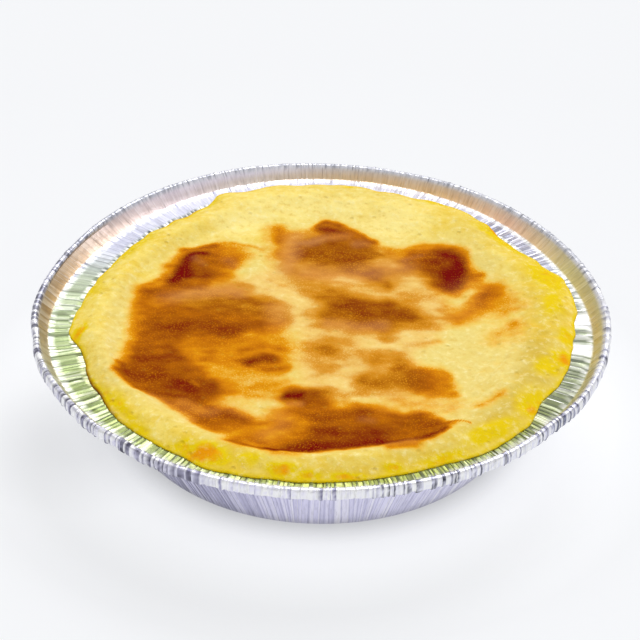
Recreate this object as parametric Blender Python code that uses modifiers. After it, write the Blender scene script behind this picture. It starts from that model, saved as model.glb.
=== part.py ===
"""Cheese pie, baked without a crust in a round pleated foil tin.

Metres, +Z up. The origin is the middle of the tin's base, on the surface that the tin
stands on. The front of the pie faces -Y. Azimuths are in degrees, 0 at +X and 90 at +Y.

The tin is an open turned sheet, pleated and then thickened. The pie is a turned blank
whose top is then raised, sunk and wrinkled by the functions below.
"""
import math

import bpy
from mathutils import Vector, noise

MM = 0.001

# Tin: a round take-away tin with a pleated wall, a flat flange, a lip and a rolled bead.
RIM_RADIUS = 115.0 * MM
TIN_HEIGHT = 46.5 * MM
BASE_RADIUS = 78.1 * MM       # where the line of the wall meets the table
BASE_ROUNDING = 4.5 * MM
FLANGE_INNER = 97.8 * MM
FLANGE_OUTER = 108.6 * MM
FLANGE_LEVEL = 41.3 * MM      # upper face of the flange
BEAD_WIDTH = 2.8 * MM
BEAD_DEPTH = 5.0 * MM
FOIL = 0.5 * MM
PLEATS = 96
PLEAT_DEPTH = 0.45 * MM       # how far a ridge or a groove leaves the turned surface
PLEAT_FADE = 27.0 * MM        # height over which the pleats grow up the wall
BEAD_PLEAT = 0.25             # share of the pleat depth that is left on the bead
BEAD_TURNS = (-60, 0, 45, 95, 150)  # corners of the bead's curl, in degrees
SMOOTH_ANGLE = 40             # edges sharper than this stay sharp, in degrees

# Pie: the body fills the tin, the baked edge lies on the flange.
CLEARANCE = 0.3 * MM
BODY_GAP = FOIL * 1.2 + PLEAT_DEPTH + CLEARANCE    # the wall slopes, so its foil counts more
BRIM_LEVEL = FLANGE_LEVEL + PLEAT_DEPTH + CLEARANCE  # underside of the edge on the flange
PIE_COLUMNS = 96
TOP_RINGS = 25
RING_CROWDING = 1.5           # above 1, the rings close up towards the edge
EDGE_RADIUS = 101.0 * MM      # of the blank, before its edge is drawn in and out
SHOULDER_SHARE = 0.55         # share of the ring's width that its outer slope takes
SHOULDER_MOST = 12.0 * MM
SHOULDER_ROUNDING = 0.7       # below 1, the slope is steeper at the edge
RISE = 3.4 * MM               # height of the puffed ring over the flange
DISH_DEPTH = 3.2 * MM         # how far the browned middle has sunk below the ring
FOOT_RADIUS = 76.0 * MM       # where the ring's inner slope meets the browned skin

# The baked edge, which ran out over the flange and shrank back: azimuth, radius.
EDGE_LINE = (
    (0, 101.2 * MM),
    (5, 103.4 * MM),
    (17, 104.0 * MM),
    (26, 100.2 * MM),
    (38, 97.4 * MM),
    (48, 101.8 * MM),
    (60, 103.2 * MM),
    (70, 101.5 * MM),
    (84, 103.8 * MM),
    (95, 102.5 * MM),
    (101, 104.8 * MM),
    (109, 102.0 * MM),
    (115, 104.3 * MM),
    (121, 97.0 * MM),
    (130, 95.0 * MM),
    (150, 93.8 * MM),
    (162, 93.8 * MM),
    (175, 96.0 * MM),
    (187, 99.4 * MM),
    (196, 95.8 * MM),
    (210, 98.4 * MM),
    (225, 101.5 * MM),
    (240, 102.7 * MM),
    (248, 105.0 * MM),
    (262, 104.0 * MM),
    (280, 103.2 * MM),
    (295, 102.6 * MM),
    (306, 104.7 * MM),
    (318, 103.8 * MM),
    (329, 99.3 * MM),
    (338, 101.0 * MM),
    (350, 100.2 * MM),
)

# Bulges of a line that runs round the pie or the tin: azimuth, half-width in degrees, reach.
RIM_BULGES = (
    (-40, 6, -1.1 * MM),
    (0, 6, 0.4 * MM),
    (30, 18, -0.7 * MM),
    (108, 16, 0.9 * MM),
    (158, 18, -2.0 * MM),
    (190, 4, -0.8 * MM),
    (212, 9, -0.6 * MM),
    (230, 4, -1.1 * MM),
)
FLANGE_BULGES = (
    (28, 26, -2.8 * MM),
    (150, 28, -4.5 * MM),
)
FOOT_BULGES = (
    (-95, 48, 9.0 * MM),
    (-15, 40, -12.0 * MM),
    (60, 22, -7.0 * MM),
    (100, 20, -3.0 * MM),
    (-155, 15, 5.0 * MM),
)

# Blisters and hollows of the browned skin: x, y, half-length, half-width, turn, height.
BLISTERS = (
    (-46 * MM, 8 * MM, 26 * MM, 12 * MM, 0, 0.9 * MM),
    (-46 * MM, 42 * MM, 15 * MM, 7 * MM, 25, 1.0 * MM),
    (2 * MM, 60 * MM, 18 * MM, 8 * MM, -8, 1.1 * MM),
    (50 * MM, 43 * MM, 13 * MM, 9 * MM, -35, 1.1 * MM),
    (18 * MM, 10 * MM, 24 * MM, 10 * MM, -5, 0.9 * MM),
    (-55 * MM, -35 * MM, 20 * MM, 10 * MM, -30, 1.0 * MM),
    (34 * MM, -38 * MM, 17 * MM, 7 * MM, -4, 0.8 * MM),
    (-4 * MM, -50 * MM, 9 * MM, 5 * MM, 0, 0.7 * MM),
    (20 * MM, -66 * MM, 28 * MM, 7 * MM, 6, 0.9 * MM),
    (-22 * MM, -27 * MM, 9 * MM, 5 * MM, 10, 0.6 * MM),
    (64 * MM, 18 * MM, 10 * MM, 5 * MM, 60, 0.5 * MM),
    (-16 * MM, 30 * MM, 20 * MM, 4 * MM, -62, -0.9 * MM),
    (5 * MM, 32 * MM, 22 * MM, 5 * MM, -4, -0.8 * MM),
    (-28 * MM, -48 * MM, 16 * MM, 7 * MM, -35, -0.7 * MM),
)
EDGE_PULL = 4                 # above 1, the edge's bulges fade quickly towards the middle
LUMP_SIZE = 17 * MM
LUMP_HEIGHT = 0.55 * MM
RING_LUMP_SIZE = 27 * MM
RING_LUMP_SHARE = 0.12        # how much of its height the puffed ring gains or loses
CREASE_SPACING = 5.4 * MM     # concentric creases on the slope at the right and front right
CREASE_HEIGHT = 0.35 * MM
CREASE_AZIMUTH = -38
CREASE_SPREAD = 34
CREASE_RADIUS = 78 * MM
CREASE_REACH = 11 * MM
CREASE_WAVES = 5              # times a crease swings in and out in one turn
CREASE_SWING = 0.35           # how far it swings, in spacings


def smooth(value):
    """0 below 0, 1 above 1, and an even S between."""
    value = min(max(value, 0.0), 1.0)
    return value * value * (3 - 2 * value)


def bell(gap, half_width):
    return math.exp(-(gap / half_width) ** 2)


def line_round(azimuth, start, bulges):
    """Radius at an azimuth of a line that bulges in and out of a circle."""
    radius = start
    for centre, half_width, reach in bulges:
        gap = (azimuth - centre + 180) % 360 - 180
        radius += reach * bell(gap, half_width)
    return radius


def edge_radius(azimuth):
    """Radius of the baked edge at an azimuth, eased from each point to the next."""
    azimuth %= 360
    for (start, low), (end, high) in zip(EDGE_LINE, EDGE_LINE[1:] + ((360, EDGE_LINE[0][1]),)):
        if azimuth <= end:
            return low + (high - low) * smooth((azimuth - start) / (end - start))
    return EDGE_LINE[0][1]


def wall_radius(height):
    """Outer radius of the tin's sloping wall."""
    slope = (FLANGE_INNER - BASE_RADIUS) / (FLANGE_LEVEL - FOIL)
    return BASE_RADIUS + slope * height


def principled(name, colour, roughness, metallic):
    material = bpy.data.materials.new(name)
    material.use_nodes = True
    shader = material.node_tree.nodes["Principled BSDF"]
    shader.inputs["Base Color"].default_value = (*colour, 1.0)
    shader.inputs["Roughness"].default_value = roughness
    shader.inputs["Metallic"].default_value = metallic
    return material


def turned(name, profile, columns):
    """Mesh of a profile of (radius, height) points turned once round the Z axis."""
    line = bpy.data.meshes.new(name + "_line")
    points = [(radius, 0.0, height) for radius, height in profile]
    edges = [(index, index + 1) for index in range(len(points) - 1)]
    line.from_pydata(points, edges, [])
    blank = bpy.data.objects.new(name + "_blank", line)
    bpy.context.scene.collection.objects.link(blank)
    screw = blank.modifiers.new("Turn", "SCREW")
    screw.axis = "Z"
    screw.angle = math.tau
    screw.steps = columns
    screw.render_steps = columns
    screw.use_merge_vertices = True
    screw.merge_threshold = 0.01 * MM
    bpy.context.view_layer.update()
    graph = bpy.context.evaluated_depsgraph_get()
    mesh = bpy.data.meshes.new_from_object(blank.evaluated_get(graph), depsgraph=graph)
    mesh.name = name
    bpy.data.objects.remove(blank)
    bpy.data.meshes.remove(line)
    return mesh


def add_object(mesh, material, collection):
    mesh.materials.clear()
    mesh.materials.append(material)
    mesh.shade_smooth()
    mesh.set_sharp_from_angle(angle=math.radians(SMOOTH_ANGLE))
    thing = bpy.data.objects.new(mesh.name, mesh)
    collection.objects.link(thing)
    return thing


def tin_profile():
    """Outer face of the tin, from the free end of the bead to the middle of the base."""
    bead_x = RIM_RADIUS - BEAD_WIDTH / 2
    bead_z = TIN_HEIGHT - BEAD_DEPTH / 2
    profile = []
    for degrees in BEAD_TURNS:
        turn = math.radians(degrees)
        radius = bead_x + (BEAD_WIDTH / 2 - FOIL) * math.cos(turn)
        height = bead_z + (BEAD_DEPTH / 2 - FOIL) * math.sin(turn)
        profile.append((radius, height))
    profile.append((FLANGE_OUTER + FOIL, FLANGE_LEVEL - FOIL))
    profile.append((FLANGE_INNER, FLANGE_LEVEL - FOIL))
    wall_angle = math.atan2(FLANGE_LEVEL - FOIL, FLANGE_INNER - BASE_RADIUS)
    flat_radius = BASE_RADIUS - BASE_ROUNDING * math.tan(wall_angle / 2)
    for share in (1, 0.5, 0):
        turn = wall_angle * share
        radius = flat_radius + BASE_ROUNDING * math.sin(turn)
        height = BASE_ROUNDING * (1 - math.cos(turn))
        profile.append((radius, height))
    profile.append((0.0, 0.0))
    return profile


def pleat_share(radius, height):
    """How much of the full pleat depth the sheet has here: none on the base."""
    if radius > RIM_RADIUS - BEAD_WIDTH:
        return BEAD_PLEAT
    return smooth(height / PLEAT_FADE)


def dent(radius, azimuth):
    """How far the rim or the flange's outer corner was pushed in or out at an azimuth."""
    if radius > RIM_RADIUS - BEAD_WIDTH:
        return line_round(azimuth, 0.0, RIM_BULGES)
    if radius > FLANGE_OUTER - FOIL:
        return line_round(azimuth, 0.0, FLANGE_BULGES)
    return 0.0


def foil_tin(collection):
    mesh = turned("foil_tin", tin_profile(), PLEATS * 2)
    normals = [vertex.normal.copy() for vertex in mesh.vertices]
    for vertex, normal in zip(mesh.vertices, normals):
        radius = vertex.co.xy.length
        turn = math.atan2(vertex.co.y, vertex.co.x)
        side = 1 if round(turn / math.pi * PLEATS) % 2 else -1
        shift = dent(radius, math.degrees(turn))
        vertex.co += normal * (side * PLEAT_DEPTH * pleat_share(radius, vertex.co.z))
        vertex.co += Vector((math.cos(turn), math.sin(turn), 0.0)) * shift
    tin = add_object(mesh, principled("foil", (0.72, 0.71, 0.76), 0.28, 1.0), collection)
    sheet = tin.modifiers.new("Sheet", "SOLIDIFY")
    sheet.thickness = FOIL
    sheet.offset = -1.0
    sheet.use_even_offset = True
    return tin


def blister(x, y, centre_x, centre_y, length, width, degrees, height):
    """Height that one blister or hollow adds at a point of the skin."""
    turn = math.radians(degrees)
    along = (x - centre_x) * math.cos(turn) + (y - centre_y) * math.sin(turn)
    across = (y - centre_y) * math.cos(turn) - (x - centre_x) * math.sin(turn)
    return height * bell(math.hypot(along / length, across / width), 1.0)


def creases(radius, azimuth):
    """Fine ridges that run round the slope on one side, where the skin slid as it sank."""
    gap = (azimuth - CREASE_AZIMUTH + 180) % 360 - 180
    share = bell(gap, CREASE_SPREAD) * bell(radius - CREASE_RADIUS, CREASE_REACH)
    drift = CREASE_SWING * math.sin(math.radians(azimuth) * CREASE_WAVES)
    return share * CREASE_HEIGHT * math.sin(math.tau * (radius / CREASE_SPACING + drift))


def top_height(x, y):
    """Height of the baked top: a puffed ring round a sunken, lumpy, browned skin."""
    radius = math.hypot(x, y)
    azimuth = math.degrees(math.atan2(y, x))
    edge = edge_radius(azimuth)
    foot = line_round(azimuth, FOOT_RADIUS, FOOT_BULGES)
    width = min(SHOULDER_MOST, SHOULDER_SHARE * (edge - foot))
    inward = min(max((edge - radius) / width, 0.0), 1.0)
    shoulder = math.sin(math.pi / 2 * inward) ** SHOULDER_ROUNDING
    crest = edge - width
    sunk = smooth((crest - radius) / (crest - foot))
    lump = noise.noise(Vector((x, y, 0.0)) / LUMP_SIZE)
    ring_lump = noise.noise(Vector((x, y, RING_LUMP_SIZE)) / RING_LUMP_SIZE)
    height = RISE * shoulder * (1 + RING_LUMP_SHARE * ring_lump) - DISH_DEPTH * sunk
    height += shoulder * (lump * LUMP_HEIGHT + creases(radius, azimuth))
    height += sunk * sum(blister(x, y, *shape) for shape in BLISTERS)
    return BRIM_LEVEL + height


def pie_profile():
    """Blank of the pie: a flat top, the brim, and the body that fills the tin."""
    profile = [(0.0, BRIM_LEVEL)]
    for ring in range(1, TOP_RINGS + 1):
        share = 1 - (1 - ring / TOP_RINGS) ** RING_CROWDING
        profile.append((EDGE_RADIUS * share, BRIM_LEVEL))
    body_top = FLANGE_INNER - BODY_GAP
    floor = FOIL + CLEARANCE
    profile.append((body_top, BRIM_LEVEL - CLEARANCE / 2))
    profile.append((body_top - CLEARANCE, FLANGE_LEVEL - FOIL))
    profile.append((wall_radius(FLANGE_LEVEL / 2) - BODY_GAP, FLANGE_LEVEL / 2))
    profile.append((wall_radius(BASE_ROUNDING) - BODY_GAP, BASE_ROUNDING))
    profile.append((BASE_RADIUS - BASE_ROUNDING, floor))
    profile.append((0.0, floor))
    return profile


def cheese_pie(collection):
    mesh = turned("cheese_pie", pie_profile(), PIE_COLUMNS)
    for vertex in mesh.vertices:
        radius = vertex.co.xy.length
        if radius == 0:
            continue
        edge = edge_radius(math.degrees(math.atan2(vertex.co.y, vertex.co.x)))
        if vertex.co.z > BRIM_LEVEL - CLEARANCE / 4:
            moved = radius + (edge - EDGE_RADIUS) * (radius / EDGE_RADIUS) ** EDGE_PULL
        else:
            moved = min(radius, edge - CLEARANCE)
        vertex.co.x *= moved / radius
        vertex.co.y *= moved / radius
    for vertex in mesh.vertices:
        if vertex.co.z > BRIM_LEVEL - CLEARANCE / 4:
            vertex.co.z = top_height(vertex.co.x, vertex.co.y)
    crust = principled("baked_cheese", (0.78, 0.55, 0.14), 0.5, 0.0)
    return add_object(mesh, crust, collection)


def main():
    for thing in list(bpy.data.objects):
        bpy.data.objects.remove(thing)
    collection = bpy.data.collections.new("cheese_pie_in_foil_tin")
    bpy.context.scene.collection.children.link(collection)
    foil_tin(collection)
    cheese_pie(collection)


main()
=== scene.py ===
"""Looks of a cheese pie in its foil tin: the pleated foil, the baked top, floor and light.

Metres, +Z up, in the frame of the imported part. The front of the pie faces -Y. Azimuths
are in degrees, 0 at +X and 90 at +Y.
"""
import math
import random

import bmesh
import bpy
import numpy as np
from mathutils import Matrix, Vector, noise


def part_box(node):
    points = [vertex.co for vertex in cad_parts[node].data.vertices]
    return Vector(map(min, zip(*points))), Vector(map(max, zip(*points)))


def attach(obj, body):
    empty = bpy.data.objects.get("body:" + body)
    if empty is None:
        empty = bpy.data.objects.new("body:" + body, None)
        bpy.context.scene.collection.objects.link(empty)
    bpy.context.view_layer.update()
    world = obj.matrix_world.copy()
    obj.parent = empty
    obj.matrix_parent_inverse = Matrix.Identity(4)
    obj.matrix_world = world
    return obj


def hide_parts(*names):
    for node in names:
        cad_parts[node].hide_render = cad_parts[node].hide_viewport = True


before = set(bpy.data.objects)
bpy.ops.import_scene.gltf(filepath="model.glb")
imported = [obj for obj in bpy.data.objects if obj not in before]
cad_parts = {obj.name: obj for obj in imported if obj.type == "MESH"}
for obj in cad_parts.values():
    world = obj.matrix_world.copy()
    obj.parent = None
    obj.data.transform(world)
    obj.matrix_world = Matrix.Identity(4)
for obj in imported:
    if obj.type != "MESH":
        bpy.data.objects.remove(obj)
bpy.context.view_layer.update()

MM = 0.001
TIN_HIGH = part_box("foil_tin")[1]

# Tin
RIM_RADIUS = TIN_HIGH.x - 0.75 * MM  # the box takes in the rim's bulges too
TIN_HEIGHT = TIN_HIGH.z - 0.4 * MM
BASE_RADIUS = 78.1 * MM
BASE_ROUNDING = 4.5 * MM
FLANGE_INNER = 97.8 * MM
FLANGE_OUTER = 108.6 * MM
FLANGE_LEVEL = 41.3 * MM
FLANGE_ROUNDING = 1.2 * MM
BEAD_WIDTH = 2.8 * MM
BEAD_DEPTH = 5.0 * MM
SHEET = 0.22 * MM  # thickness of the foil
CREASE_SHARE = 0.42  # of a fold's width; the rest of it is a flat land
CREASE_HEIGHT = 0.30 * MM
LAND_TILT = 0.12 * MM
HEM_RAGGED = 0.45 * MM  # how far the hem's lower edge rises and falls
SHARP_ANGLE = math.radians(28)  # folds sharper than this show a hard edge

# Bulges of a line that runs round the pie or the tin: azimuth, half-width, reach in mm.
RIM_BULGES = (
    (-40, 6, -1.1), (0, 6, 0.4), (30, 18, -0.7), (108, 16, 0.9), (158, 18, -2), (190, 4, -0.8),
    (212, 9, -0.6), (230, 4, -1.1),
)
FLANGE_BULGES = ((28, 26, -2.8), (150, 28, -4.5))
# Azimuth, and mean width of a fold there in degrees.
FOLD_WIDTHS = (
    (0, 1.7), (20, 1.35), (60, 1.1), (150, 1.1), (164, 1.9), (182, 1.6), (194, 1.2), (205, 1),
    (225, 1.05), (245, 1.35), (262, 1.1), (320, 1.1), (336, 1.5),
)
# Azimuth, and share of the flange's folds there with a dark recess: a real dent with painted shade
# and dark reflection in it.
PAINTED_DARK_FOLDS = (
    (0, 0.3), (100, 0.2), (165, 0.15), (205, 0.35), (225, 0.65), (300, 0.65), (335, 0.45),
)
# Azimuth, and share of the crimps of the bead's outer side painted dark, as shade between them.
PAINTED_DARK_CRIMPS = (
    (0, 0.4), (118, 0.4), (127, 0.9), (166, 0.9), (174, 0.7), (236, 0.85), (239, 0.97),
    (247, 0.97), (249, 0.25), (276, 0.25), (281, 0.9), (298, 0.9), (302, 0.5), (318, 0.55),
    (321, 1), (326, 1), (328, 0.45),
)
# Azimuth, and how much of the folds' height is left inside the bead.
CALM_FOIL = (
    (2, 0.9), (20, 0.45), (60, 0.3), (158, 0.3), (172, 0.7), (190, 1), (335, 1),
)
# Azimuth, and lean of the wall's pleats in degrees.
FOOT_LEAN = (
    (0, 0), (90, 1), (180, 0), (205, 2.5), (235, 4.5), (258, 2), (268, -1.5), (277, 2.2),
    (287, -1.5), (305, -3.2), (340, -1),
)
FOOD_CREVICE = 0.35 * MM  # between the pie's edge and the foil that turns down

# Pie
BRIM_LEVEL = 41.8 * MM
BODY_GAP = 1.35 * MM  # between the body and the tin's wall
EDGE_RADIUS = 101.0 * MM  # mean
EDGE_PULL = 4  # how close to the edge its scallops stay
SHOULDER_SHARE = 0.55  # of the slope's width that the round outer shoulder takes
SHOULDER_MOST = 12.0 * MM
SHOULDER_ROUNDING = 1.12
RISE = 3.4 * MM
DISH_DEPTH = 3.2 * MM
FOOT_RADIUS = 76.0 * MM  # where the slope meets the sunken middle
GRID = 290  # cells across the pie's top
# Azimuth, and reach of the pie's edge in mm.
EDGE_LINE = (
    (0, 101.2), (5, 103.4), (17, 104), (26, 100.2), (38, 97.4), (48, 101.8), (60, 103.2),
    (70, 101.5), (84, 103.8), (95, 102.5), (101, 104.8), (109, 102), (115, 104.3), (121, 97),
    (130, 95), (150, 93.8), (162, 93.8), (175, 96), (187, 99.4), (196, 95.8), (210, 98.4),
    (225, 101.5), (240, 102.7), (248, 105), (262, 104), (280, 103.2), (295, 102.6), (306, 104.7),
    (318, 103.8), (329, 99.3), (338, 101), (350, 100.2),
)
FOOT_BULGES = ((-95, 48, 9), (-15, 40, -12), (60, 22, -7), (100, 20, -3), (-155, 15, 5))

# Blisters and hollows of the browned skin: x, y, half-length, half-width in mm, turn in
# degrees, height in mm.
BLISTERS = (
    (-46, 8, 26, 12, 0, 0.9), (-46, 42, 15, 7, 25, 1), (2, 60, 18, 8, -8, 1.1),
    (50, 43, 13, 9, -35, 1.1), (18, 10, 24, 10, -5, 0.9), (-55, -35, 20, 10, -30, 1),
    (34, -38, 17, 7, -4, 0.8), (-4, -50, 9, 5, 0, 0.7), (20, -66, 28, 7, 6, 0.9),
    (-22, -27, 9, 5, 10, 0.6), (64, 18, 10, 5, 60, 0.5), (-16, 30, 20, 4, -62, -0.9),
    (5, 32, 22, 5, -4, -0.8), (-28, -48, 16, 7, -35, -0.7),
)


def srgb(red, green, blue):
    """Linear colour from 0 to 255 display values."""
    out = []
    for value in (red, green, blue):
        value /= 255
        out.append(value / 12.92 if value <= 0.04045 else ((value + 0.055) / 1.055) ** 2.4)
    return (*out, 1.0)


def smooth(value):
    """0 below 0, 1 above 1, and an even S between."""
    value = np.clip(value, 0.0, 1.0)
    return value * value * (3 - 2 * value)


def polar(points):
    """Distance from the middle and azimuth of each point."""
    x, y = points[:, 0], points[:, 1]
    return np.hypot(x, y), np.degrees(np.arctan2(y, x))


def around(azimuth, centre):
    """Signed angle from a centre, -180 to 180."""
    return (azimuth - centre + 180) % 360 - 180


def line_round(azimuth, start, bulges):
    """Radius at an azimuth of a line that bulges in and out of a circle."""
    radius = np.full_like(azimuth, start)
    for centre, half_width, reach in bulges:
        radius = radius + reach * MM * np.exp(-(around(azimuth, centre) / half_width) ** 2)
    return radius


def clouds(points, size, seed=0.0):
    """Smooth noise from -1 to 1 at each (x, y, z), with lumps of the given size."""
    shift = Vector((seed, seed * 1.7, -seed))
    return np.array([noise.noise(Vector(p) / size + shift) for p in points])


def finish_piece(name, mesh, material, node):
    piece = bpy.data.objects.new(name, mesh)
    bpy.context.scene.collection.objects.link(piece)
    mesh.materials.clear()
    mesh.materials.append(material)
    mesh.shade_smooth()
    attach(piece, "root")
    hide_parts(node)
    return piece


def mesh_from(bm, name):
    mesh = bpy.data.meshes.new(name)
    bm.to_mesh(mesh)
    bm.free()
    return mesh


def store(mesh, name, values):
    layer = mesh.attributes.new(name, "FLOAT", "POINT")
    layer.data.foreach_set("value", np.asarray(values, np.float32))


def store_colour(mesh, name, colours):
    layer = mesh.attributes.new(name, "FLOAT_COLOR", "POINT")
    opaque = np.column_stack((colours, np.ones(len(colours))))
    layer.data.foreach_set("color", opaque.astype(np.float32).ravel())


def positions(mesh):
    flat = np.empty(len(mesh.vertices) * 3)
    mesh.vertices.foreach_get("co", flat)
    return flat.reshape(-1, 3)


def set_positions(mesh, points):
    mesh.vertices.foreach_set("co", np.ascontiguousarray(points).ravel())
    mesh.update()


# ---------------------------------------------------------------- browning of the top

def curve_through(points, closed):
    """Smooth line through a few points, as an array of (x, y)."""
    given = np.array(points, float)
    last = len(given) - 1
    out = []
    for index in range(last + 1 if closed else last):
        near = np.arange(index - 1, index + 3)
        a, b, c, d = given[near % (last + 1) if closed else np.clip(near, 0, last)]
        for step in range(CURVE_STEPS):
            t = step / CURVE_STEPS
            bend = 2 * b + (c - a) * t + (2 * a - 5 * b + 4 * c - d) * t ** 2
            out.append(0.5 * (bend + (3 * b - a - 3 * c + d) * t ** 3))
    if not closed:
        out.append(given[-1])
    return np.array(out)


def gap_to_line(x, y, line, closed):
    """Distance from each point to a line of short straight runs."""
    ends = np.roll(line, -1, axis=0) if closed else line[1:]
    starts = line if closed else line[:-1]
    nearest = np.full(len(x), 1e9)
    for (ax, ay), (bx, by) in zip(starts, ends):
        dx, dy = bx - ax, by - ay
        length = dx * dx + dy * dy + 1e-12
        along = np.clip(((x - ax) * dx + (y - ay) * dy) / length, 0, 1)
        nearest = np.minimum(nearest, np.hypot(x - ax - along * dx, y - ay - along * dy))
    return nearest


def inside(x, y, line):
    """True where a point is inside a closed line."""
    within = np.zeros(len(x), bool)
    for (ax, ay), (bx, by) in zip(line, np.roll(line, -1, axis=0)):
        if ay == by:
            continue
        crosses = (ay > y) != (by > y)
        within ^= crosses & (x < ax + (y - ay) / (by - ay) * (bx - ax))
    return within


def field(x, y, points, soft, inset=0.0):
    """1 well inside a closed outline, 0 well outside, over a soft edge set in by a distance."""
    line = curve_through(points, True)
    gap = gap_to_line(x, y, line, True)
    signed = np.where(inside(x, y, line), gap, -gap) - inset
    return smooth(0.5 + signed / (2 * soft))


def stroke(x, y, points, width, soft):
    """1 along a line, 0 beyond its half-width, over a soft edge."""
    if len(points) == 1:
        gap = np.hypot(x - points[0][0], y - points[0][1])
    else:
        gap = gap_to_line(x, y, curve_through(points, False), False)
    return smooth(0.5 - (gap - width) / (2 * soft))


# Fields of browned skin: level from 0 pale to 1 nearly burnt, softness of the edge in mm,
# then the outline in mm from the middle of the skin. They are laid on in this order.
FIELDS = (
    (0.12, 7, ((-74, 10), (-60, 24), (-40, 26), (-16, 34), (0, 40), (24, 40), (46, 24), (52, 6),
        (44, -12), (34, -24), (32, -54), (20, -70), (-10, -76), (-36, -62), (-66, -46))),
    (0.46, 3.4, ((-20, 45), (-10, 42), (0, 40), (20, 41), (33, 42), (39, 33), (33, 19), (20, 18),
        (8, 21), (-4, 21), (-12, 23), (-18, 30))),
    (0.36, 2.4, ((-52, -17), (-34, -17), (-15, -14), (-12, -22), (-12, -37), (-20, -41),
        (-34, -36), (-48, -32))),
    (0.61, 2.4, ((-75.5, 16), (-66, 20), (-54, 22), (-44, 19), (-34, 17), (-24, 15), (-17, 11),
        (-13, 3), (-13, -8), (-21, -14), (-34, -17), (-48, -18), (-53, -22), (-50, -27),
        (-46, -36), (-39, -43), (-30, -50), (-31, -57), (-42, -60), (-52, -59), (-62, -56),
        (-73, -48), (-78, -40), (-77, -28), (-76, -15), (-76, 0))),
    (0.6, 1.8, ((-59, -58), (-50, -58), (-40, -59), (-35, -60), (-25, -66), (-18, -69),
        (-20, -74), (-30, -77), (-38, -78), (-46, -74), (-53, -67))),
    (0.61, 2.5, ((-65.5, 33), (-62, 39), (-60, 46), (-56, 48), (-52, 47.5), (-46, 50.5),
        (-42, 52), (-36, 50), (-32, 45), (-31, 39), (-35, 31), (-37, 25), (-44, 20), (-54, 18),
        (-62, 18), (-64, 24), (-64, 30))),
    (0.37, 2.6, ((-24, 67), (-18, 66), (-12, 64), (-4, 65), (-2, 60), (-4, 50), (-8, 40),
        (-17, 34), (-20, 42), (-24, 54))),
    (0.68, 2.3, ((-14, 47), (-8, 51), (-4, 57), (-2.5, 64), (-0.5, 71), (3.5, 71.5), (8.5, 67),
        (15, 61.5), (21.5, 57), (26, 50), (28, 44), (22, 40), (17, 34), (8, 31), (3, 35),
        (-6, 37), (-14, 39))),
    (0.72, 2, ((30, 43), (34, 49), (41, 53), (47, 53.5), (55, 53), (60, 48.5), (61, 41), (63, 35),
        (66, 30), (63, 23), (58, 18), (54, 15), (47, 17), (42, 22), (40, 28), (38, 33), (32, 38))),
    (0.62, 2.6, ((-10, 19), (0, 21), (8, 20), (18, 16), (30, 13), (38, 10), (44, 2), (46, -4),
        (40, -7.5), (32, -9), (28, -15), (21, -12), (12, -13), (4, -11), (-2, -8), (-3, 2),
        (-4, 10))),
    (0.56, 2.5, ((12, -41), (20, -38), (27, -36), (31, -32), (38, -32), (46, -34), (49.5, -40),
        (48, -50.5), (43, -53), (34, -52), (22, -52), (13, -50))),
    (0.46, 2, ((-36, -79), (-28, -76), (-22, -70), (-18, -62), (-8, -59), (-2, -70), (-6, -86),
        (-20, -90), (-35, -87))),
    (0.64, 1.7, ((-17, -55), (-13, -50), (-6, -48.5), (4, -48.5), (9, -52), (10, -58), (12, -59),
        (15, -57.5), (22, -59), (28, -62), (33, -64), (36, -61.5), (40, -61.5), (46, -67),
        (51, -71.5), (47, -77.5), (41, -82.5), (33, -86), (21, -86), (8, -88), (-4, -90.5),
        (-14, -91), (-22, -88), (-8, -79), (-6, -70), (-10, -60))),
)

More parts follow.
